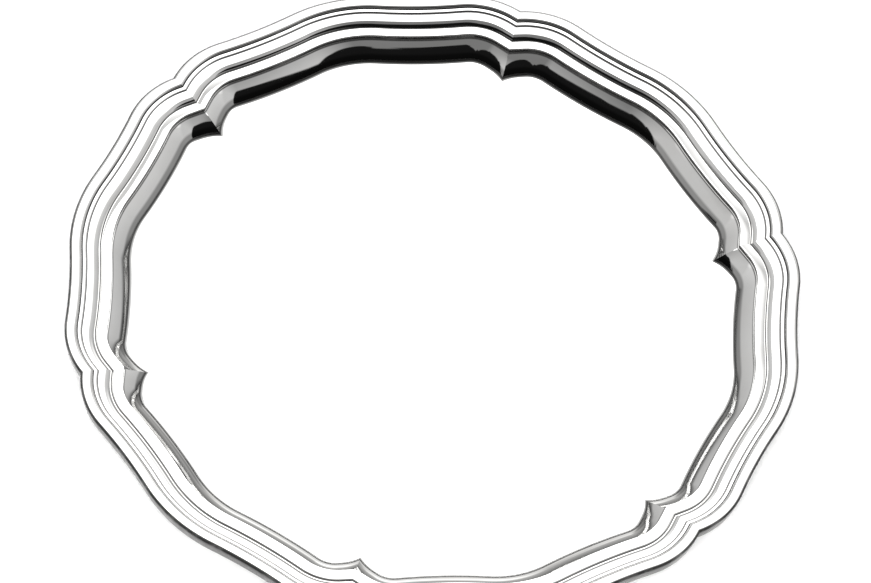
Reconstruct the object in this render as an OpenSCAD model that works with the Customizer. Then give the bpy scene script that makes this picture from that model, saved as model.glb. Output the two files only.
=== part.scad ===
// Offering plate of the salver type: a pressed sheet with a flat well, a hollow moulded border in
// six mitred lengths, the solder that fills it, and a beaded band round the outer edge.
// The plate stands on z = 0 and the origin is the centre of its base. One notch points along +Y.

/* [Outline] */
// Size across the round corners half-way between the notches
overall_d = 305; // [255:1:370]
// How far each notch is cut in from that size
notch_depth = 2.1; // [1:0.1:4]
// Slope of the edge where two sides meet at a notch
notch_angle = 20; // [10:1:26]
// Radius of the shoulder on each side of a notch
shoulder_r = 36; // [29:1:45]
// Radius of the round corner half-way along a side
corner_r = 67; // [50:1:80]
// Radius of the shallow hollow between shoulder and corner
hollow_r = 216; // [150:1:400]

/* [Well plate] */
// Thickness of the pressed sheet
sheet_t = 1; // [0.7:0.1:1.4]
// Height of the seat that carries the border, from the table
seat_h = 7.5; // [6.4:0.1:9.5]
// Slope of the wall of the well at its top
wall_top_slope = 32; // [26:1:38]
// Slope of the wall of the well just above its foot
wall_foot_slope = 46; // [42:1:58]
// Radius of the turn from the wall into the flat of the well
foot_r = 3; // [2:0.1:4]
// Width of the strip of sheet that shows inside the border
ledge_w = 0.4; // [0.2:0.1:1]
// How far the crease under each notch runs out over the flat of the well
point_len = 2.4; // [0:0.1:4.5]
// Radius of the plain disc in the middle of the sheet
disc_r = 84; // [60:1:88]

/* [Border] */
// Distance from the outer edge to the inner edge of the border
border_w = 17.6; // [16.8:0.1:21.5]
// Height of the shelf that carries the bead, from the seat
shelf_h = 4; // [3.5:0.1:4.8]
// Thickness of the stamped metal
shell_t = 0.6; // [0.4:0.05:0.7]
// Width of the narrow reed next to the bead
reed_w = 2; // [1.6:0.1:2.4]
// Height of the narrow reed above the shelf
reed_h = 0.15; // [0.1:0.05:0.4]
// How far the thin line inside the reed lies below the shelf
step_h = 0.55; // [0.4:0.05:0.8]
// Width of the falling round moulding inside the thin line
ovolo_w = 4.9; // [4.2:0.1:5.4]
// How far that moulding falls
ovolo_drop = 1.45; // [1.2:0.05:1.7]
// Width of the steep face below the round moulding
cove_w = 0.8; // [0.6:0.1:1.2]
// Height of the deep groove from the seat
groove_h = 1.2; // [1:0.1:1.4]
// Height of the highest line of the wide inner band from the seat
band_h = 2.5; // [2.2:0.1:2.8]
// Height of the inner edge of the border from the seat
lip_h = 2.35; // [2:0.05:2.6]

/* [Edge band] */
// Width of the bead
bead_w = 5.2; // [4.2:0.1:6.2]
// Height of the crown of the bead above the shelf
bead_h = 1.5; // [1.1:0.1:2.4]
// How far the bead stands out past the skirt under it
bead_overhang = 0.45; // [0.2:0.05:0.8]
// How far the rounding under the bead reaches down the skirt
bead_under = 0.5; // [0.3:0.1:1]
// Thickness of the skirt that covers the edges of sheet and border
skirt_t = 0.9; // [0.6:0.1:1.1]

/* [Fits] */
// Clearance between the skirt and the edges inside it, and between the solder and the shell
fit_gap = 0.1; // [0.05:0.05:0.3]

/* [Hidden] */
SIDES = 6;

// ---- Outline of one side, from a notch on the +Y axis to the corner half a side further on ----
// Three arcs that run into each other: shoulder (convex), hollow (concave) and corner (convex).
half_side = 180 / SIDES;
corner_y = overall_d / 2;
notch_y = corner_y - notch_depth;
shoulder_c = [shoulder_r * sin(notch_angle), notch_y - shoulder_r * cos(notch_angle)];
corner_c = (corner_y - corner_r) * [sin(half_side), cos(half_side)];
// The centre of the hollow is where circles of these two sizes round the other centres meet
reach_s = shoulder_r + hollow_r;
reach_c = corner_r + hollow_r;
between = norm(corner_c - shoulder_c);
along = (corner_c - shoulder_c) / between;
foot_on = (reach_s * reach_s - reach_c * reach_c + between * between) / (2 * between);
hollow_c = shoulder_c + foot_on * along
    + sqrt(reach_s * reach_s - foot_on * foot_on) * [-along[1], along[0]];
// Directions, clockwise from +Y, in which the arcs meet
turn_s = atan2(hollow_c[0] - shoulder_c[0], hollow_c[1] - shoulder_c[1]);
turn_c = atan2(hollow_c[0] - corner_c[0], hollow_c[1] - corner_c[1]);

SHOULDER_STEPS = 5;
HOLLOW_STEPS = 2;
CORNER_STEPS = 3;
HALF_STEPS = SHOULDER_STEPS + HOLLOW_STEPS + CORNER_STEPS;

function polar_at(angle) = [sin(angle), cos(angle)];
function blend(a, b, t) = a + (b - a) * t;
function on_shoulder(t, inset) =
    shoulder_c + (shoulder_r - inset) * polar_at(blend(-notch_angle, turn_s, t));
function on_hollow(t, inset) =
    hollow_c - (hollow_r + inset) * polar_at(blend(turn_s, turn_c, t));
function on_corner(t, inset) =
    corner_c + (corner_r - inset) * polar_at(blend(turn_c, half_side, t));
// On the notch line the two sides meet in a mitre, which an inset carries inwards. Down the wall
// of the well the crease also runs out into a point.
function crease(inset) =
    point_len * max(0, inset - wall_u) / (foot_u - wall_u);
function on_mitre(inset) = [0, notch_y - inset / cos(notch_angle) - crease(inset)];
// Place number s along the first half of a side
function on_half(s, inset) =
    s == 0 ? on_mitre(inset)
    : s <= SHOULDER_STEPS ? on_shoulder(s / SHOULDER_STEPS, inset)
    : s <= SHOULDER_STEPS + HOLLOW_STEPS ? on_hollow((s - SHOULDER_STEPS) / HOLLOW_STEPS, inset)
    : on_corner((s - SHOULDER_STEPS - HOLLOW_STEPS) / CORNER_STEPS, inset);
// The second half is the mirror image of the first in the line through the corner
function mirrored(p) = [
    p[1] * sin(2 * half_side) - p[0] * cos(2 * half_side),
    p[0] * sin(2 * half_side) + p[1] * cos(2 * half_side)
];
function on_side(s, inset) =
    s <= HALF_STEPS ? on_half(s, inset) : mirrored(on_half(2 * HALF_STEPS - s, inset));
function turned(p, angle) = [
    p[0] * cos(angle) + p[1] * sin(angle),
    p[1] * cos(angle) - p[0] * sin(angle)
];

// ---- Sections, as pairs of an upper and a lower line of [inset, height] points ----
function arc_points(c, r, from, to, n) = [
    for (i = [0:n]) c + r * [sin(blend(from, to, i / n)), cos(blend(from, to, i / n))]
];

// Well plate: the seat, the wall as an arc that steepens, and the turn into the flat
wall_u = border_w + ledge_w;
turn_drop = foot_r * (1 - cos(wall_foot_slope));
wall_r = (seat_h - sheet_t - turn_drop) / (cos(wall_top_slope) - cos(wall_foot_slope));
wall_c = [wall_u - wall_r * sin(wall_top_slope), seat_h - wall_r * cos(wall_top_slope)];
foot_c = wall_c + (wall_r + foot_r) * [sin(wall_foot_slope), cos(wall_foot_slope)];
foot_u = foot_c[0];
skirt_in = bead_overhang + skirt_t;
edge_u = skirt_in + fit_gap;
// The disc reaches this far under the ring round it, so that the two are one
DISC_LAP = 3;
WALL_STEPS = 4;
TURN_STEPS = 3;
function wall_line(depth) = concat(
    arc_points(wall_c, wall_r - depth, wall_top_slope, wall_foot_slope, WALL_STEPS),
    [
        for (i = [1:TURN_STEPS])
            foot_c - (foot_r + depth) * polar_at(wall_foot_slope * (1 - i / TURN_STEPS))
    ]
);
seat_top = concat([[edge_u, seat_h]], wall_line(0));
seat_under = concat([[edge_u, seat_h - sheet_t]], wall_line(sheet_t));

// Border: the upper line of the moulding, and the same line one metal thickness further down
shelf_z = seat_h + shelf_h;
reed_u = bead_w;
ovolo_u = reed_u + reed_w;
cove_u = ovolo_u + ovolo_w;
band_u = cove_u + cove_w;
band_w = border_w - band_u;
step_z = shelf_z - step_h;
cove_z = step_z - ovolo_drop;
groove_z = seat_h + groove_h;
band_z = seat_h + band_h;
lip_z = seat_h + lip_h;
moulding = [
    [edge_u, shelf_z],
    [reed_u, shelf_z],
    [reed_u + 0.15 * reed_w, shelf_z + reed_h],
    [reed_u + 0.5 * reed_w, shelf_z + reed_h],
    [reed_u + 0.8 * reed_w, blend(shelf_z, step_z, 0.2)],
    [ovolo_u, step_z],
    [ovolo_u + 0.22 * ovolo_w, step_z],
    [ovolo_u + 0.5 * ovolo_w, blend(step_z, cove_z, 0.22)],
    [ovolo_u + 0.77 * ovolo_w, blend(step_z, cove_z, 0.57)],
    [cove_u, cove_z],
    [band_u - 0.25 * cove_w, blend(cove_z, groove_z, 0.9)],
    [band_u, groove_z],
    [band_u + 0.13 * band_w, blend(groove_z, band_z, 0.3)],
    [band_u + 0.5 * band_w, blend(groove_z, band_z, 0.78)],
    [band_u + 0.8 * band_w, band_z],
    [border_w, lip_z]
];
LAST = len(moulding) - 1;
// Inside the shell: the legs at both edges stand on the seat
shell_top = concat([[edge_u, seat_h]], moulding, [[border_w, seat_h]]);
inner_line = [
    for (i = [0:LAST])
        [
            i == 0 ? edge_u + shell_t : i == LAST ? border_w - shell_t : moulding[i][0],
            moulding[i][1] - (i == LAST ? 0.5 * shell_t : shell_t)
        ]
];
shell_under = concat([[edge_u + shell_t, seat_h]], inner_line, [[border_w - shell_t, seat_h]]);

// Filling: the hollow under the shell, less the clearance, with straight tops under each moulding
FILL_AT = [0, 1, 5, 9, 10, 11, 14, LAST];
fill_top = [
    for (i = FILL_AT)
        inner_line[i] + [i == 0 ? fit_gap : i == LAST ? -fit_gap : 0, -fit_gap]
];
fill_under = [for (p = fill_top) [p[0], seat_h]];

// Edge band: a low round bead on the shelf, with a skirt down over the edges
bead_r = bead_w / 2;
skirt_z = seat_h - sheet_t;
BEAD_STEPS = 8;
bead_sweep = 175;
bead_line = [
    for (i = [0:BEAD_STEPS])
        let (a = bead_sweep * i / BEAD_STEPS) [bead_r * (1 - cos(a)), shelf_z + bead_h * sin(a)]
];
band_top = concat([[bead_overhang, skirt_z], [bead_overhang, shelf_z - bead_under]], bead_line);
band_under = concat(
    [[skirt_in, skirt_z], [skirt_in, blend(skirt_z, shelf_z, 0.5)]],
    [for (i = [0:BEAD_STEPS]) [blend(skirt_in, bead_w, i / BEAD_STEPS), shelf_z]]
);

// ---- Solids ----
// A bar that follows one side between two mitres. Each section is a strip between two lines.
module side_bar(upper, lower, side) {
    m = len(upper);
    n = 2 * HALF_STEPS;
    ring = concat(upper, [for (i = [m - 1:-1:0]) lower[i]]);
    k = 2 * m;
    polyhedron(
        points = [
            for (s = [0:n]) for (q = ring)
                let (p = turned(on_side(s, q[0]), side * 2 * half_side)) [p[0], p[1], q[1]]
        ],
        faces = concat(
            [for (s = [0:n - 1]) for (i = [0:k - 1])
                [s * k + i, (s + 1) * k + i, (s + 1) * k + (i + 1) % k]],
            [for (s = [0:n - 1]) for (i = [0:k - 1])
                [s * k + i, (s + 1) * k + (i + 1) % k, s * k + (i + 1) % k]],
            [for (i = [0:m - 2]) [i, i + 1, k - 1 - i]],
            [for (i = [0:m - 2]) [i + 1, k - 2 - i, k - 1 - i]],
            [for (i = [0:m - 2]) [n * k + i, n * k + k - 1 - i, n * k + i + 1]],
            [for (i = [0:m - 2]) [n * k + i + 1, n * k + k - 1 - i, n * k + k - 2 - i]]
        ),
        convexity = 6
    );
}

// The sheet outside the disc: the same strip, taken all the way round and closed at the disc
module shaped_sheet() {
    upper = concat(seat_top, [[corner_y - disc_r, sheet_t]]);
    lower = concat(seat_under, [[corner_y - disc_r, 0]]);
    m = len(upper);
    n = SIDES * 2 * HALF_STEPS;
    ring = concat(upper, [for (i = [m - 1:-1:0]) lower[i]]);
    k = 2 * m;
    polyhedron(
        points = [
            for (s = [0:n - 1]) for (i = [0:k - 1])
                let (
                    side = floor(s / (2 * HALF_STEPS)),
                    q = ring[i],
                    on_disc = i == m - 1 || i == m,
                    flat = on_side(s % (2 * HALF_STEPS), on_disc ? foot_u : q[0]),
                    p = turned(on_disc ? flat * disc_r / norm(flat) : flat, side * 2 * half_side)
                )
                [p[0], p[1], q[1]]
        ],
        faces = concat(
            [for (s = [0:n - 1]) for (i = [0:k - 1])
                [s * k + i, ((s + 1) % n) * k + i, ((s + 1) % n) * k + (i + 1) % k]],
            [for (s = [0:n - 1]) for (i = [0:k - 1])
                [s * k + i, ((s + 1) % n) * k + (i + 1) % k, s * k + (i + 1) % k]]
        ),
        convexity = 6
    );
}

module well_plate() {
    color("gainsboro")
        union() {
            shaped_sheet();
            cylinder(h = sheet_t, r = disc_r + DISC_LAP, $fn = 180);
        }
}

module border(side) { color("silver") side_bar(shell_top, shell_under, side); }
module edge_band(side) { color("whitesmoke") side_bar(band_top, band_under, side); }
module filling(side) { color("dimgray") side_bar(fill_top, fill_under, side); }

module border_1() { border(0); }
module border_2() { border(1); }
module border_3() { border(2); }
module border_4() { border(3); }
module border_5() { border(4); }
module border_6() { border(5); }
module edge_band_1() { edge_band(0); }
module edge_band_2() { edge_band(1); }
module edge_band_3() { edge_band(2); }
module edge_band_4() { edge_band(3); }
module edge_band_5() { edge_band(4); }
module edge_band_6() { edge_band(5); }
module filling_1() { filling(0); }
module filling_2() { filling(1); }
module filling_3() { filling(2); }
module filling_4() { filling(3); }
module filling_5() { filling(4); }
module filling_6() { filling(5); }

well_plate();
border_1();
border_2();
border_3();
border_4();
border_5();
border_6();
edge_band_1();
edge_band_2();
edge_band_3();
edge_band_4();
edge_band_5();
edge_band_6();
filling_1();
filling_2();
filling_3();
filling_4();
filling_5();
filling_6();
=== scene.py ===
# %% [markdown]
# # An offering plate in silver plate
# The plate is a shallow, round, highly polished dish. A sheet of metal is pressed into a flat well
# with a shaped wall, a moulded border in six lengths is soldered on its rim, and a band with a bead
# covers the outer edge. This lesson models each of those pieces the way a maker would form it: a
# drawn outline, a drawn section, and a strip of metal that is led along the one through the other.

# %% Load the frame
import math
import bmesh
import bpy
from mathutils import Matrix, Vector


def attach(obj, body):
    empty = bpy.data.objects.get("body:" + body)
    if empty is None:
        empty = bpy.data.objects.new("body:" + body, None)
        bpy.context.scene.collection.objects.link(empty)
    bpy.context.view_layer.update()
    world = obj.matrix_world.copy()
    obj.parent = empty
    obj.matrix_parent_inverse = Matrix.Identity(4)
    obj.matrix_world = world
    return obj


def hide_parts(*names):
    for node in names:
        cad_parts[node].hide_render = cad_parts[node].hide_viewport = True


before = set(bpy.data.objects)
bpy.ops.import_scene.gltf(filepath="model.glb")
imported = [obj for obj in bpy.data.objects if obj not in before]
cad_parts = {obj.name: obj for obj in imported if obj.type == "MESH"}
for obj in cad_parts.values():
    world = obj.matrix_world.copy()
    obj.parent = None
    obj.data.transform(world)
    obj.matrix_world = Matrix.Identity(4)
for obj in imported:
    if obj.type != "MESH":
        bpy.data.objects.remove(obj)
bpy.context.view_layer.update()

MM = 0.001

# %% [markdown]
# ## The camera
# A polished plate is a mirror, so the place of the camera decides what every surface shows. It
# comes first. A long lens from five metres keeps the far and the near rim almost the same size.
# The camera looks down at a steep angle, and is turned a little about its own line of sight.

# %% Camera
SHELF_HEIGHT = 11.5 * MM
LOOK_DOWN = math.radians(57.17)
TURN = math.radians(6.13)
ROLL = math.radians(9.22)
DISTANCE = 5.0
SHOWN_WIDTH = 357 * MM
FRAME_RIGHT = 0.6 * MM
FRAME_UP = 4.9 * MM
VIEW_END = 100


def make_camera():
    """A camera that looks at the plate's middle, rolled about its own axis."""
    flat_right = Vector((math.cos(TURN), math.sin(TURN), 0))
    flat_ahead = Vector((-math.sin(TURN), math.cos(TURN), 0))
    ahead = flat_ahead * math.cos(LOOK_DOWN) - Vector((0, 0, math.sin(LOOK_DOWN)))
    level_up = flat_right.cross(ahead)
    right = flat_right * math.cos(ROLL) + level_up * math.sin(ROLL)
    up = level_up * math.cos(ROLL) - flat_right * math.sin(ROLL)
    target = Vector((0, 0, SHELF_HEIGHT)) + right * FRAME_RIGHT + up * FRAME_UP
    data = bpy.data.cameras.new("camera")
    data.lens = data.sensor_width * DISTANCE / SHOWN_WIDTH
    data.clip_end = VIEW_END
    camera = bpy.data.objects.new("camera", data)
    bpy.context.scene.collection.objects.link(camera)
    turn = Matrix((right, up, -ahead)).transposed().to_4x4()
    camera.matrix_world = Matrix.Translation(target - ahead * DISTANCE) @ turn
    bpy.context.scene.camera = camera
    return flat_ahead


toward_back = make_camera()
print("camera at", [round(c, 3) for c in bpy.context.scene.camera.location])

# %% [markdown]
# ## The outline
# All the lines of the plate are one outline, drawn again further and further in. One sixth of it
# runs from notch to notch: a shoulder beside the notch, a shallow hollow, a round corner, and the
# same in the mirror. Three arcs that flow into each other draw half of that. On the notch line two
# sides meet in a mitre, like a picture frame, so every inner line keeps its sharp point.

# %% Outline
SIDES = 6
HALF_SIDE = math.pi / SIDES
CORNER_Y = 152.5 * MM
NOTCH_DEPTH = 2.1 * MM
NOTCH_Y = CORNER_Y - NOTCH_DEPTH
NOTCH_ANGLE = math.radians(20)
SHOULDER_R = 36 * MM
CORNER_R = 67 * MM
HOLLOW_R = 216 * MM


def heading(angle):
    """A unit step in the direction that lies this angle clockwise from +Y."""
    return Vector((math.sin(angle), math.cos(angle)))


def angle_of(step):
    return math.atan2(step.x, step.y)


def blend(a, b, t):
    return a + (b - a) * t


shoulder_c = Vector((0, NOTCH_Y)) + SHOULDER_R * (
    Vector((math.sin(NOTCH_ANGLE), -math.cos(NOTCH_ANGLE))))
corner_c = (CORNER_Y - CORNER_R) * heading(HALF_SIDE)
reach_s = SHOULDER_R + HOLLOW_R
reach_c = CORNER_R + HOLLOW_R
between = (corner_c - shoulder_c).length
along = (corner_c - shoulder_c) / between
foot_on = (reach_s ** 2 - reach_c ** 2 + between ** 2) / (2 * between)
hollow_c = shoulder_c + along * foot_on + math.sqrt(reach_s ** 2 - foot_on ** 2) * (
    Vector((-along.y, along.x)))
turn_s = angle_of(hollow_c - shoulder_c)
turn_c = angle_of(hollow_c - corner_c)
print("arcs meet at", round(math.degrees(turn_s), 2), round(math.degrees(turn_c), 2))

# %% [markdown]
# The stations are the places along a side at which the section is set down. They stand closer
# together on the short shoulder than on the long hollow. Next to the notch the inner lines run
# straight into the mitre, and need a few stations of their own.

# %% Stations along a side
CROWDING = 1.6
STRAIGHT = [("straight", (k / 6) ** CROWDING) for k in range(6)]
SHOULDER = [("shoulder", k / 16) for k in range(16)]
HOLLOW = [("hollow", k / 8) for k in range(8)]
CORNER = [("corner", k / 12) for k in range(13)]
half = STRAIGHT + SHOULDER + HOLLOW + CORNER
stations = [(kind, t, False) for kind, t in half]
stations += [(kind, t, True) for kind, t in reversed(half[:-1])]


def on_half(kind, t, inset, point):
    """A place on the first half of a side, this far in from the outer edge."""
    if kind == "straight":
        tip = Vector((0, NOTCH_Y - inset / math.cos(NOTCH_ANGLE)))
        start = shoulder_c + (SHOULDER_R - inset) * heading(-NOTCH_ANGLE)
        return tip.lerp(start, t) - Vector((0, point * (1 - t) ** 3))
    if kind == "shoulder":
        return shoulder_c + (SHOULDER_R - inset) * heading(blend(-NOTCH_ANGLE, turn_s, t))
    if kind == "hollow":
        return hollow_c - (HOLLOW_R + inset) * heading(blend(turn_s, turn_c, t))
    return corner_c + (CORNER_R - inset) * heading(blend(turn_c, HALF_SIDE, t))


def on_side(station, inset, side, point=0.0):
    """The same, on either half of any side."""
    kind, t, mirrored = station
    p = on_half(kind, t, inset, point)
    angle = angle_of(p)
    if mirrored:
        angle = 2 * HALF_SIDE - angle
    return p.length * heading(angle + side * 2 * HALF_SIDE)


print("stations along a side", len(stations))

# %% [markdown]
# ## Sections
# A moulding is drawn as its maker draws it: a row of straight and round stretches. Each stretch
# says where it ends, how much it bulges and in how many steps it is drawn. The bulge is the
# height of the arc over its chord, as a share of the chord, and is negative for a hollow.

# %% Draw a section
def draw_section(start, stretches):
    """Points of [inset, height] along straight and round stretches, in mm."""
    points = [Vector(start)]
    for u, z, bulge, steps in stretches:
        a, b = points[-1], Vector((u, z))
        chord = b - a
        out = Vector((-chord.y, chord.x))
        if not bulge:
            points += [a.lerp(b, k / steps) for k in range(1, steps + 1)]
            continue
        half_turn = 2 * math.atan(2 * bulge)
        radius = chord.length / (2 * math.sin(half_turn))
        centre = (a + b) / 2 - out.normalized() * radius * math.cos(half_turn)
        for k in range(1, steps + 1):
            swing = blend(half_turn, -half_turn, k / steps)
            points.append(centre + radius * (
                out.normalized() * math.cos(swing) - chord.normalized() * math.sin(swing)))
    return points


# %% [markdown]
# The sheet stands at the bottom of the stack. From the edge under the bead it runs flat, as the
# seat of the border. Then it turns down as the wall of the well, which gets steeper on its way,
# and ends in a tight turn to the flat. Its underside runs parallel to it.

# %% Section of the sheet
SHEET_T = 1.0
SEAT_Z = 7.5
EDGE_U = 1.45
BORDER_W = 17.6
LEDGE_W = 0.4
WALL_U = BORDER_W + LEDGE_W
WALL_TOP = math.radians(32)
WALL_FOOT = math.radians(46)
FOOT_R = 3.0
FLAT_W = 1
WALL_STEPS = 14
TURN_STEPS = 8
wall_r = (SEAT_Z - SHEET_T - FOOT_R * (1 - math.cos(WALL_FOOT))) / (
    math.cos(WALL_TOP) - math.cos(WALL_FOOT))
wall_c = Vector((WALL_U, SEAT_Z)) - wall_r * heading(WALL_TOP)
foot_c = wall_c + (wall_r + FOOT_R) * heading(WALL_FOOT)
FOOT_U = foot_c.x


def wall_line(depth):
    """The wall and its foot, this far under the upper face."""
    wall = [wall_c + (wall_r - depth) * heading(blend(WALL_TOP, WALL_FOOT, k / WALL_STEPS))
            for k in range(WALL_STEPS + 1)]
    foot = [foot_c - (FOOT_R + depth) * heading(WALL_FOOT * (1 - k / TURN_STEPS))
            for k in range(1, TURN_STEPS + 1)]
    return wall + foot


upper = [Vector((EDGE_U, SEAT_Z))] + wall_line(0) + [Vector((FOOT_U + FLAT_W, SHEET_T))]
lower = [Vector((EDGE_U, SEAT_Z - SHEET_T))] + wall_line(SHEET_T)
lower += [Vector((FOOT_U + FLAT_W, 0))]
sheet_section = lower[::-1] + upper
print("wall from", WALL_U, "to", round(FOOT_U, 2), "mm in from the edge")

# %% [markdown]
# The border is stamped from thin metal, so its section is a hollow shell that stands on the seat
# on two legs. From the outside in it has a flat shelf for the bead, a narrow reed, a thin sunk
# line, a round moulding, a steep face down to a deep groove, and a wide band. The band is slightly
# crowned and rises all the way to its crest near the inner edge, where it rolls over the lip.

# %% Section of the border
SHELF_Z = SEAT_Z + 4.0
BEAD_W = 5.2
SHELL_T = 0.6
LINE_U, LINE_Z = 7.2, SHELF_Z - 0.55
GROOVE_U, GROOVE_Z = 12.95, SHELF_Z - 2.8
CREST_U, CREST_Z = 16.9, SEAT_Z + 2.5
LIP_Z = SEAT_Z + 2.2
outer_leg = [(EDGE_U, SHELF_Z, 0, 1), (BEAD_W, SHELF_Z, 0, 1)]
reed = [(BEAD_W + 0.2, SHELF_Z + 0.08, 0, 1), (6.75, SHELF_Z - 0.04, 0.1, 8)]
thin_line = [(LINE_U, LINE_Z, 0.08, 4), (LINE_U + 0.2, LINE_Z - 0.01, -0.1, 2)]
ovolo = [(12.15, SHELF_Z - 2.05, 0.12, 16)]
cove = [(12.7, SHELF_Z - 2.72, 0, 3), (GROOVE_U, GROOVE_Z, -0.1, 2)]
wide_band = [(13.5, SEAT_Z + 1.55, 0.03, 3), (CREST_U, CREST_Z, 0.02, 16)]
inner_leg = [(BORDER_W, LIP_Z, 0.22, 6), (BORDER_W, SEAT_Z, 0, 8)]
hollow_side = [
    (BORDER_W - SHELL_T, SEAT_Z, 0, 1),
    (BORDER_W - SHELL_T, SEAT_Z + 1.85, 0, 1),
    (14.6, SEAT_Z + 1.3, 0, 1),
    (12.9, SEAT_Z + 0.6, 0, 1),
    (11.0, SHELF_Z - 2.0, 0, 1),
    (LINE_U, SHELF_Z - 1.15, 0, 1),
    (EDGE_U + SHELL_T, SHELF_Z - SHELL_T, 0, 1),
    (EDGE_U + SHELL_T, SEAT_Z, 0, 1),
]
shell_section = draw_section((EDGE_U, SEAT_Z), (
    outer_leg + reed + thin_line + ovolo + cove + wide_band + inner_leg + hollow_side))
print("points in the border's section", len(shell_section))

# %% [markdown]
# The edge band is drawn metal with a skirt. Its low round bead lies on the shelf and stands out a
# little past the skirt, which leans in towards its foot and hides the edges of border and sheet.

# %% Section of the edge band
BEAD_H = 1.5
BEAD_STEPS = 28
OVERHANG = 0.45
SKIRT_T = 0.9
SKIRT_Z = SEAT_Z - SHEET_T
SKIRT_LEAN = 0.45
SKIRT_FOOT = OVERHANG + SKIRT_LEAN
BEAD_UNDER = 0.5
crown = [Vector((BEAD_W / 2 * (1 - math.cos(math.pi * k / BEAD_STEPS)),
                 SHELF_Z + BEAD_H * math.sin(math.pi * k / BEAD_STEPS)))
         for k in range(1, BEAD_STEPS + 1)]
bead_section = draw_section((SKIRT_FOOT, SKIRT_Z), [
    (OVERHANG, SHELF_Z - BEAD_UNDER, 0, 8),
    (0, SHELF_Z, 0.18, 4),
])
bead_section += crown + [Vector((OVERHANG + SKIRT_T, SHELF_Z)),
                         Vector((OVERHANG + SKIRT_T, SKIRT_Z))]
print("points in the band's section", len(bead_section))

# %% [markdown]
# ## Lead a section along the outline
# A flat grid is a strip of metal before it is formed: one direction is the way along the side, the
# other the way across the section. Each of its points is carried to its station and its place in
# the section. The grid keeps its own flat measure as a UV map, in metres, for the finishes.

# %% Form a strip
POINT_LEN = 2.4 * MM
SAME_POINT = 1e-7
SHARP_FROM = math.radians(24)


def point_length(u):
    """How far the crease under a notch is drawn out, deep on the wall."""
    return POINT_LEN * max(0.0, u - WALL_U) / (FOOT_U - WALL_U)


def form_strip(places, section, around, across):
    """A bmesh grid whose rows follow the stations and whose columns follow the section."""
    bm = bmesh.new()
    nx = len(places) - (0 if around else 1)
    ny = len(section) - (0 if across else 1)
    bmesh.ops.create_grid(bm, x_segments=nx, y_segments=ny, size=0.5)
    uv = bm.loops.layers.uv.new("strip")
    run = [0.0]
    for a, b in zip(section, section[1:] + section[:1]):
        run.append(run[-1] + (b - a).length * MM)
    spot = {v: (round((v.co.x + 0.5) * nx), round((v.co.y + 0.5) * ny)) for v in bm.verts}
    for face in bm.faces:
        for loop in face.loops:
            i, j = spot[loop.vert]
            loop[uv].uv = (i / nx * CORNER_Y * 2 * HALF_SIDE, run[j])
    for v, (i, j) in spot.items():
        side, station = places[i % len(places)]
        u, z = section[j % len(section)]
        flat = on_side(station, u * MM, side, point_length(u))
        v.co = (flat.x, flat.y, z * MM)
    bmesh.ops.remove_doubles(bm, verts=bm.verts, dist=SAME_POINT)
    return bm


def finish_piece(bm, name, replaced):
    """Close what is open, shade the round stretches smoothly and hang the piece on the frame."""
    bmesh.ops.holes_fill(bm, edges=[e for e in bm.edges if e.is_boundary], sides=0)
    bmesh.ops.recalc_face_normals(bm, faces=bm.faces)
    mesh = bpy.data.meshes.new(name)
    bm.to_mesh(mesh)
    bm.free()
    mesh.shade_smooth()
    mesh.set_sharp_from_angle(angle=SHARP_FROM)
    piece = bpy.data.objects.new(name, mesh)
    bpy.context.scene.collection.objects.link(piece)
    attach(piece, "root")
    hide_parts(replaced)
    return piece


# %% Sheet
all_round = [(side, station) for side in range(SIDES) for station in stations[:-1]]
sheet_bm = form_strip(all_round, sheet_section, around=True, across=False)
sheet = finish_piece(sheet_bm, "silver_sheet", "well_plate")
print("sheet faces", len(sheet.data.polygons))

# %% Border and edge band, side by side
borders = []
bands = []
for side in range(SIDES):
    places = [(side, station) for station in stations]
    strip = form_strip(places, shell_section, around=False, across=True)
    borders.append(finish_piece(strip, f"moulding_{side + 1}",
                                f"border_{side + 1}"))
    band_places = [p for p in places if p[1][0] != "straight" or p[1][1] == 0]
    strip = form_strip(band_places, bead_section, around=False, across=True)
    bands.append(finish_piece(strip, f"bead_band_{side + 1}",
                              f"edge_band_{side + 1}"))
print("faces in a border length", len(borders[0].data.polygons),
      "and in a band length", len(bands[0].data.polygons))

# %% [markdown]
# ## Finishes
# Colours are written as the hex codes of a colour picker, and turned to linear light by one
# function. One small helper adds any node: its settings by name, its values by socket, the colour
# stops if it is a ramp, and its links.

# %% Helpers for materials
def linear(code):
    """A hex colour as linear red, green, blue and alpha."""
    parts = [int(code[i:i + 2], 16) / 255 for i in (1, 3, 5)]
    return [c / 12.92 if c <= 0.04045 else ((c + 0.055) / 1.055) ** 2.4 for c in parts] + [1]


def add_node(tree, kind, links=(), values=(), stops=(), **settings):
    """Add a node, set its properties, inputs and colour stops, and link its inputs."""
    node = tree.nodes.new(kind)
    for key, value in settings.items():
        if hasattr(node, key):
            setattr(node, key, value)
        else:
            node.inputs[key.replace("_", " ")].default_value = value
    for socket, value in values:
        node.inputs[socket].default_value = value
    for socket, source in links:
        tree.links.new(source, node.inputs[socket])
    if stops:
        elements = node.color_ramp.elements
        for element, (place, code) in zip(elements, (stops[0], stops[-1])):
            element.position = place
            element.color = linear(code)
        for place, code in stops[1:-1]:
            elements.new(place).color = linear(code)
    return node


# %% [markdown]
# Some tarnish stays in the grooves of a plate that is polished by hand, because the cloth passes
# over them. Most of these lines are painted shade and painted reflection: the dark that the mirror
# shows in the grooves, in the joins, under the bead and on the skirt, painted into the colour with
# that tarnish. The strip map tells how far across the section a point lies, so one colour ramp over
# that measure lays a soft grey line into each groove and crease, and a slow noise makes it come and
# go.

# %% Places across a section
BARE = "#ffffff"
FULL_SHARE = 0.4


def run_to(section, u, z):
    """How far along the section its point nearest to this place lies, in mm."""
    run, best = 0.0, (1e9, 0.0)
    for a, b in zip([section[0]] + section[:-1], section):
        run += (b - a).length
        best = min(best, ((b - Vector((u, z))).length, run))
    return best[1]


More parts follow.
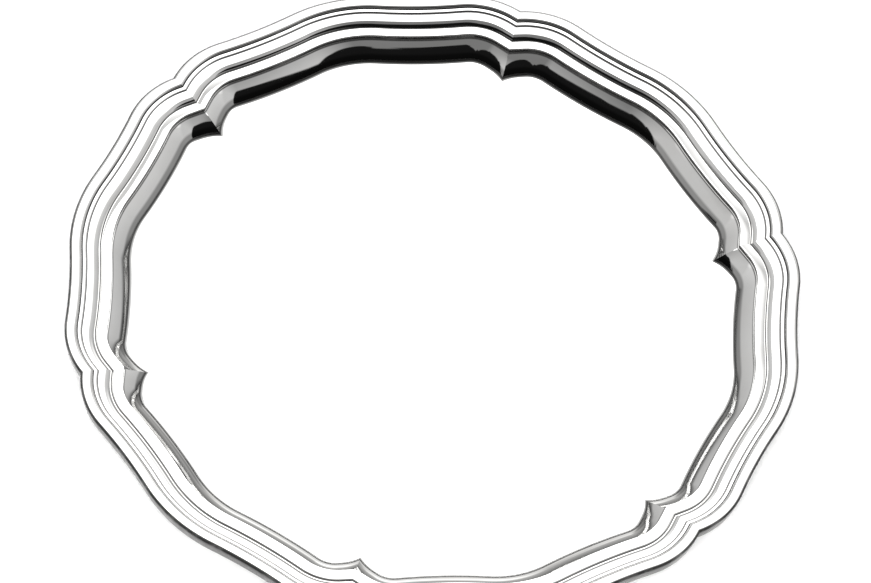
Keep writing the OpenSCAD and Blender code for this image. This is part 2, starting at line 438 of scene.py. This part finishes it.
def painted_line_stops(section, lines):
    """Ramp stops for painted lines of shade, reflection and tarnish, given as (u, z, half width in
    mm, hex colour).
    """
    total = sum((b - a).length for a, b in zip(section, section[1:] + section[:1]))
    stops = []
    for u, z, half_width, code in lines:
        middle = run_to(section, u, z)
        for step, shade in ((-1, BARE), (-FULL_SHARE, code), (FULL_SHARE, code), (1, BARE)):
            stops.append(((middle + step * half_width) / total, shade))
    return total, sorted(stops)


# Painted on the border: black shade in the join beside the bead and on the lip where it rolls down
# to the sheet, and grey lines in the thin line and the groove, tarnish with painted shade.
border_painted_shade_and_tarnish = painted_line_stops(shell_section, [
    (BEAD_W + 0.05, SHELF_Z, 0.6, "#1a1a1a"),
    (LINE_U, LINE_Z, 0.42, "#5c5c5c"),
    (GROOVE_U - 0.15, GROOVE_Z, 0.5, "#505050"),
    (BORDER_W, SEAT_Z + 1.1, 1.5, "#0c0c0c"),
])
print("stops in the border's film", len(border_painted_shade_and_tarnish[1]))

# %% [markdown]
# ## Silver plate
# Silver is laid on the brass by electroplating and buffed to a mirror. The eye gets a sharp, almost
# white reflection with a breath of warmth. Three things tell it from chrome:
#
# - haze: patches about as wide as the track of a buffing mop, 12 to 30 mm, a little duller
# - waves: the cloth leaves the surface uneven, 10 to 32 mm from wave to wave and a few hundredths
#   of a millimetre high, so the edges of reflections wander
# - streaks along the strip from wiping. Real ones are hair-thin. These are drawn coarser, 25 mm
#   long and 1.4 mm apart, so that they show
#
# The painted lines cover the metal: shade and reflection painted into the colour, with some tarnish
# in the grooves. They tint the reflection, dull it where they are dark, and where they are black
# they hide the mirror, which would flash white again at a grazing angle.

# %% Silver plate
STREAKS_PER_METRE = (40, 700, 1)
STREAK_HEIGHT = 0.005 * MM


def silver_plate(name, low, high, haze_mm, wave_mm, wave_height, painted_lines):
    """Buffed silver plate with a roughness from low to high, and painted lines of shade, reflection
    and tarnish.
    """
    material = bpy.data.materials.new(name)
    material.use_nodes = True
    tree = material.node_tree
    shader = tree.nodes["Principled BSDF"]
    where = add_node(tree, "ShaderNodeTexCoord").outputs["Object"]
    haze = add_node(tree, "ShaderNodeTexNoise", [("Vector", where)],
                    Scale=1 / (haze_mm * MM), Detail=5, Roughness=0.6).outputs["Fac"]
    tint = add_node(tree, "ShaderNodeValToRGB", [("Fac", haze)],
                    stops=[(0.3, "#f1f0ee"), (0.7, "#fbfbfa")]).outputs["Color"]

    # The painted lines of shade, reflection and tarnish, by the distance across the strip, and
    # patchy with the haze
    total, stops = painted_lines
    strip = add_node(tree, "ShaderNodeUVMap", uv_map="strip").outputs["UV"]
    across = add_node(tree, "ShaderNodeSeparateXYZ", [("Vector", strip)]).outputs["Y"]
    place = add_node(tree, "ShaderNodeMath", [(0, across)], [(1, total * MM)],
                     operation="DIVIDE")
    line = add_node(tree, "ShaderNodeValToRGB", [("Fac", place.outputs[0])],
                    stops=stops).outputs["Color"]
    patchy = add_node(tree, "ShaderNodeMapRange", [("Value", haze)],
                      From_Min=0.3, From_Max=0.5, To_Min=0.88, To_Max=1.0)
    tint_with_painted_lines = add_node(tree, "ShaderNodeMix", [("Factor", patchy.outputs["Result"]),
                                              (6, tint), (7, line)],
                      data_type="RGBA", blend_type="MULTIPLY")
    tree.links.new(tint_with_painted_lines.outputs[2], shader.inputs["Base Color"])

    # Dull where the painted shade is dark, and bare of its mirror where it is black
    rough = add_node(tree, "ShaderNodeMapRange", [("Value", haze)],
                     From_Min=0.3, From_Max=0.7, To_Min=low, To_Max=high)
    dull = add_node(tree, "ShaderNodeMapRange", [("Value", line)],
                    From_Min=0.4, From_Max=0.1, To_Min=0.0, To_Max=0.35)
    bare = add_node(tree, "ShaderNodeMapRange", [("Value", line)],
                    From_Min=0.0, From_Max=0.11, To_Min=0.2, To_Max=1.0)
    both = add_node(tree, "ShaderNodeMath", [(0, rough.outputs["Result"]),
                                             (1, dull.outputs["Result"])], operation="ADD")
    tree.links.new(bare.outputs["Result"], shader.inputs["Metallic"])
    tree.links.new(both.outputs[0], shader.inputs["Roughness"])

    # Waves of buffing, and streaks along the strip
    waves = add_node(tree, "ShaderNodeTexNoise", [("Vector", where)],
                     Scale=1 / (wave_mm * MM), Detail=1).outputs["Fac"]
    bump = add_node(tree, "ShaderNodeBump", [("Height", waves)],
                    Strength=1, Distance=wave_height * MM)
    stretched = add_node(tree, "ShaderNodeMapping", [("Vector", strip)], Scale=STREAKS_PER_METRE)
    streaks = add_node(tree, "ShaderNodeTexNoise", [("Vector", stretched.outputs["Vector"])],
                       Scale=1, Detail=2).outputs["Fac"]
    lined = add_node(tree, "ShaderNodeBump", [("Height", streaks),
                                              ("Normal", bump.outputs["Normal"])],
                     Strength=1, Distance=STREAK_HEIGHT)
    tree.links.new(lined.outputs["Normal"], shader.inputs["Normal"])
    return material


# %% [markdown]
# On the sheet a line of painted shade lies under the lip of the border, and a dark line of painted
# shade in the turn at the foot of the wall, with a lighter grey painted reflection above it. On the
# band painted shade covers the skirt as a grey reflection of the shaded floor, lies black under the
# bead and in the join, and fades out over the outer side of the bead.

# %% Painted shade lines of the sheet and the band, and the three silvers
# Painted on the sheet: shade under the border's lip, and at the foot of the wall a grey painted
# reflection over a dark painted shade line.
sheet_painted_shade_and_reflection = painted_line_stops(sheet_section, [(WALL_U - 0.2, SEAT_Z, 0.35, "#6c6c6c")])
foot_run = run_to(sheet_section, FOOT_U - 2.3, SHEET_T + 1.1)
sheet_painted_shade_and_reflection[1].extend(((foot_run + step) / sheet_painted_shade_and_reflection[0], code) for step, code in (
    (-3.4, BARE), (-2.4, "#b8b8b8"), (-0.9, "#b8b8b8"), (-0.35, "#626262"),
    (0.35, "#626262"), (0.8, BARE)))
# Painted on the band: grey reflection of the shaded floor on the skirt, black shade under the bead
# and in the join with the border, and a dark reflection fading out over the bead's outer side.
band_painted_shade_and_reflection = painted_line_stops(bead_section, [(BEAD_W - 0.03, SHELF_Z + 0.15, 0.6, "#1a1a1a")])
band_painted_shade_and_reflection[1][:0] = [(run_to(bead_section, u, z) / band_painted_shade_and_reflection[0], code) for u, z, code in (
    (SKIRT_FOOT, SKIRT_Z, "#8c8c8c"), (OVERHANG + 0.1, SHELF_Z - 1.5, "#6c6c6c"),
    (OVERHANG, SHELF_Z - BEAD_UNDER, "#161616"), (0.03, SHELF_Z + 0.2, "#1c1c1c"),
    (0.25, SHELF_Z + 0.64, "#1c1c1c"), (0.6, SHELF_Z + 0.96, "#343434"),
    (0.95, SHELF_Z + 1.16, BARE))]
sheet_silver = silver_plate("silver_plate_burnished_sheet", 0.02, 0.05, 30, 32, 0.05, sheet_painted_shade_and_reflection)
border_silver = silver_plate("silver_plate_stamped_border", 0.03, 0.07, 12, 10, 0.02, border_painted_shade_and_tarnish)
band_silver = silver_plate("silver_plate_drawn_band", 0.03, 0.06, 12, 14, 0.02, band_painted_shade_and_reflection)
sheet.data.materials.append(sheet_silver)
for piece in borders:
    piece.data.materials.append(border_silver)
for piece in bands:
    piece.data.materials.append(band_silver)
print("finishes", [m.name for m in (sheet_silver, border_silver, band_silver)])

# %% [markdown]
# ## Solder
# The filling is lead-tin solder as it froze in the hollow of the border. It gives the eye a dull
# grey metal with a frosty grain, whose crystals are about 1.5 mm wide and stand up 0.05 mm.

# %% Solder
GRAIN_W = 1.5 * MM
GRAIN_H = 0.05 * MM


def soft_solder():
    """Lead-tin solder as cast: dull grey, with a coarse frosty grain."""
    material = bpy.data.materials.new("lead_tin_solder_as_cast")
    material.use_nodes = True
    tree = material.node_tree
    shader = tree.nodes["Principled BSDF"]
    shader.inputs["Metallic"].default_value = 1
    where = add_node(tree, "ShaderNodeTexCoord").outputs["Object"]
    grain = add_node(tree, "ShaderNodeTexNoise", [("Vector", where)],
                     Scale=1 / GRAIN_W, Detail=4).outputs["Fac"]
    tint = add_node(tree, "ShaderNodeValToRGB", [("Fac", grain)],
                    stops=[(0.3, "#5d5f62"), (0.7, "#83858a")])
    tree.links.new(tint.outputs["Color"], shader.inputs["Base Color"])
    rough = add_node(tree, "ShaderNodeMapRange", [("Value", grain)],
                     From_Min=0.3, From_Max=0.7, To_Min=0.4, To_Max=0.6)
    tree.links.new(rough.outputs["Result"], shader.inputs["Roughness"])
    bump = add_node(tree, "ShaderNodeBump", [("Height", grain)], Strength=1, Distance=GRAIN_H)
    tree.links.new(bump.outputs["Normal"], shader.inputs["Normal"])
    return material


solder = soft_solder()
for side in range(SIDES):
    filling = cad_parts[f"filling_{side + 1}"]
    filling.data.materials.clear()
    filling.data.materials.append(solder)
print("solder on", SIDES, "fillings")

# %% [markdown]
# ## Floor and light
# The plate lies on white paper under a wide, soft, white sky. A mirror only shows its
# surroundings, so the sky is a plan of what the metal may show: white overhead and behind, a grey
# rim low down, and the dark of the room low on the side of the camera.

# %% Floor
FLOOR_HALF = 30
FLOOR_DROP = 0.05 * MM
PULP_CLOUDS = 60


def make_floor():
    """Uncoated white paper: matt, with the faint clouds of its pulp, about 17 mm wide."""
    bm = bmesh.new()
    bmesh.ops.create_grid(bm, x_segments=1, y_segments=1, size=FLOOR_HALF)
    mesh = bpy.data.meshes.new("paper_floor")
    bm.to_mesh(mesh)
    bm.free()
    floor = bpy.data.objects.new("paper_floor", mesh)
    mesh.transform(Matrix.Translation((0, 0, -FLOOR_DROP)))
    bpy.context.scene.collection.objects.link(floor)
    material = bpy.data.materials.new("white_paper")
    material.use_nodes = True
    tree = material.node_tree
    shader = tree.nodes["Principled BSDF"]
    shader.inputs["Roughness"].default_value = 0.9
    where = add_node(tree, "ShaderNodeTexCoord").outputs["Object"]
    pulp = add_node(tree, "ShaderNodeTexNoise", [("Vector", where)], Scale=PULP_CLOUDS, Detail=3)
    tint = add_node(tree, "ShaderNodeValToRGB", [("Fac", pulp.outputs["Fac"])],
                    stops=[(0.3, "#fafafa"), (0.7, "#fdfdfd")])
    tree.links.new(tint.outputs["Color"], shader.inputs["Base Color"])
    mesh.materials.append(material)


make_floor()
print("floor", 2 * FLOOR_HALF, "m wide")

# %% [markdown]
# Seen from low down, the far end of the floor would meet the dark side of the sky. A pale ring of
# backdrop cloth stands far out, and only the camera sees it: it neither lights nor mirrors.

# %% Backdrop
RING_RADIUS = 28
RING_HEIGHT = 14
PAINTED_FOLD_SHADES_PER_METRE = 0.2


def make_backdrop():
    """Pale woven cloth, lit evenly, with the shade of soft folds 5 m wide painted into its glow."""
    bm = bmesh.new()
    bmesh.ops.create_circle(bm, segments=64, radius=RING_RADIUS)
    raised = bmesh.ops.extrude_edge_only(bm, edges=bm.edges[:])["geom"]
    bmesh.ops.translate(bm, vec=(0, 0, RING_HEIGHT),
                        verts=[v for v in raised if isinstance(v, bmesh.types.BMVert)])
    mesh = bpy.data.meshes.new("backdrop_cloth")
    bm.to_mesh(mesh)
    bm.free()
    cloth = bpy.data.objects.new("backdrop_cloth", mesh)
    bpy.context.scene.collection.objects.link(cloth)
    material = bpy.data.materials.new("pale_backdrop_cloth")
    material.use_nodes = True
    tree = material.node_tree
    shader = tree.nodes["Principled BSDF"]
    shader.inputs["Roughness"].default_value = 0.9
    shader.inputs["Emission Strength"].default_value = 1
    where = add_node(tree, "ShaderNodeTexCoord").outputs["Object"]
    # Painted shade of soft folds, laid into the glow of the cloth.
    fold_shade = add_node(tree, "ShaderNodeTexNoise", [("Vector", where)], Scale=PAINTED_FOLD_SHADES_PER_METRE)
    tint = add_node(tree, "ShaderNodeValToRGB", [("Fac", fold_shade.outputs["Fac"])],
                    stops=[(0.3, "#ececec"), (0.7, "#f6f6f6")])
    tree.links.new(tint.outputs["Color"], shader.inputs["Emission Color"])
    mesh.materials.append(material)
    cloth.visible_glossy = cloth.visible_diffuse = cloth.visible_shadow = False


make_backdrop()
print("backdrop", RING_HEIGHT, "m high")

# %% [markdown]
# The sky is laid in four layers, each over the one before. Behind the plate it is grey low down and
# white above. Beside it a wider grey reaches higher. Towards the camera stand the people in the
# room, and above them the dark of its far end, with an edge broken into shards. A layer fades in
# along a measure: how far a direction points to the camera, and, with a share, how far aside.

# %% Sky
SKY_STRENGTH = 1.5
SHARDS = 2.4
SHARD_SHARE = 0.1


def make_sky():
    """A white sky with grey low down, and the dark of a room on the camera's side."""
    world = bpy.data.worlds.new("studio_sky")
    world.use_nodes = True
    bpy.context.scene.world = world
    tree = world.node_tree
    background = tree.nodes["Background"]
    look = add_node(tree, "ShaderNodeTexCoord").outputs["Generated"]
    height, front, right = [
        add_node(tree, "ShaderNodeVectorMath", [(0, look)], [(1, way)],
                 operation="DOT_PRODUCT").outputs["Value"]
        for way in ((0, 0, 1), -toward_back, toward_back.cross(Vector((0, 0, 1))))]
    aside = add_node(tree, "ShaderNodeMath", [(0, right)], operation="ABSOLUTE").outputs[0]
    people_bend, night_bend = [
        add_node(tree, "ShaderNodeMath", [(0, aside), (2, front)], [(1, share)],
                 operation="MULTIPLY_ADD").outputs[0]
        for share in (0.35, 0.45)]
    shards = add_node(tree, "ShaderNodeTexVoronoi", [("Vector", look)], Scale=SHARDS)
    ragged = add_node(tree, "ShaderNodeMath", [(0, shards.outputs["Color"]), (2, night_bend)],
                      [(1, SHARD_SHARE)], operation="MULTIPLY_ADD").outputs[0]
    behind, beside, people, night = [
        add_node(tree, "ShaderNodeValToRGB", [("Fac", measure)], stops=stops).outputs["Color"]
        for measure, stops in (
            (height, [(0.0, "#343434"), (0.1, "#686868"), (0.26, "#9c9c9c"), (0.36, "#ffffff")]),
            (height, [(0.0, "#242424"), (0.06, "#565656"), (0.13, "#9c9c9c"),
                      (0.6, "#b2b2b2"), (0.72, "#ffffff")]),
            (aside, [(0.36, "#666666"), (0.75, "#a6a6a6")]),
            (height, [(0.0, "#a0a0a0"), (0.28, "#7c7c7c"), (0.37, "#0c0c0c"),
                      (1.0, "#131313")]))]
    sky = behind
    for layer, measure, start, end in ((beside, front, -0.9, -0.7),
                                       (people, people_bend, 0.25, 0.33),
                                       (night, ragged, 0.75, 0.77)):
        share = add_node(tree, "ShaderNodeMapRange", [("Value", measure)],
                         From_Min=start, From_Max=end).outputs["Result"]
        sky = add_node(tree, "ShaderNodeMix", [("Factor", share), (6, sky), (7, layer)],
                       data_type="RGBA").outputs[2]
    tree.links.new(sky, background.inputs["Color"])
    background.inputs["Strength"].default_value = SKY_STRENGTH


make_sky()
print("sky nodes", len(bpy.context.scene.world.node_tree.nodes))

# %% Soft light from the back left, and a fill from the camera's side
def make_light(name, place, size, power):
    data = bpy.data.lights.new(name, "AREA")
    data.shape = "DISK"
    data.size = size
    data.energy = power
    light = bpy.data.objects.new(name, data)
    bpy.context.scene.collection.objects.link(light)
    light.location = place
    light.rotation_euler = (-light.location).to_track_quat("-Z", "Y").to_euler()
    return light


make_light("soft_box", (-0.7, 0.9, 2.6), 3.2, 30)
fill = make_light("fill_light", -1.7 * toward_back + Vector((0, 0, 1.9)), 1.6, 60)
fill.visible_glossy = False
bpy.context.scene.view_settings.view_transform = "Standard"
print("light set")
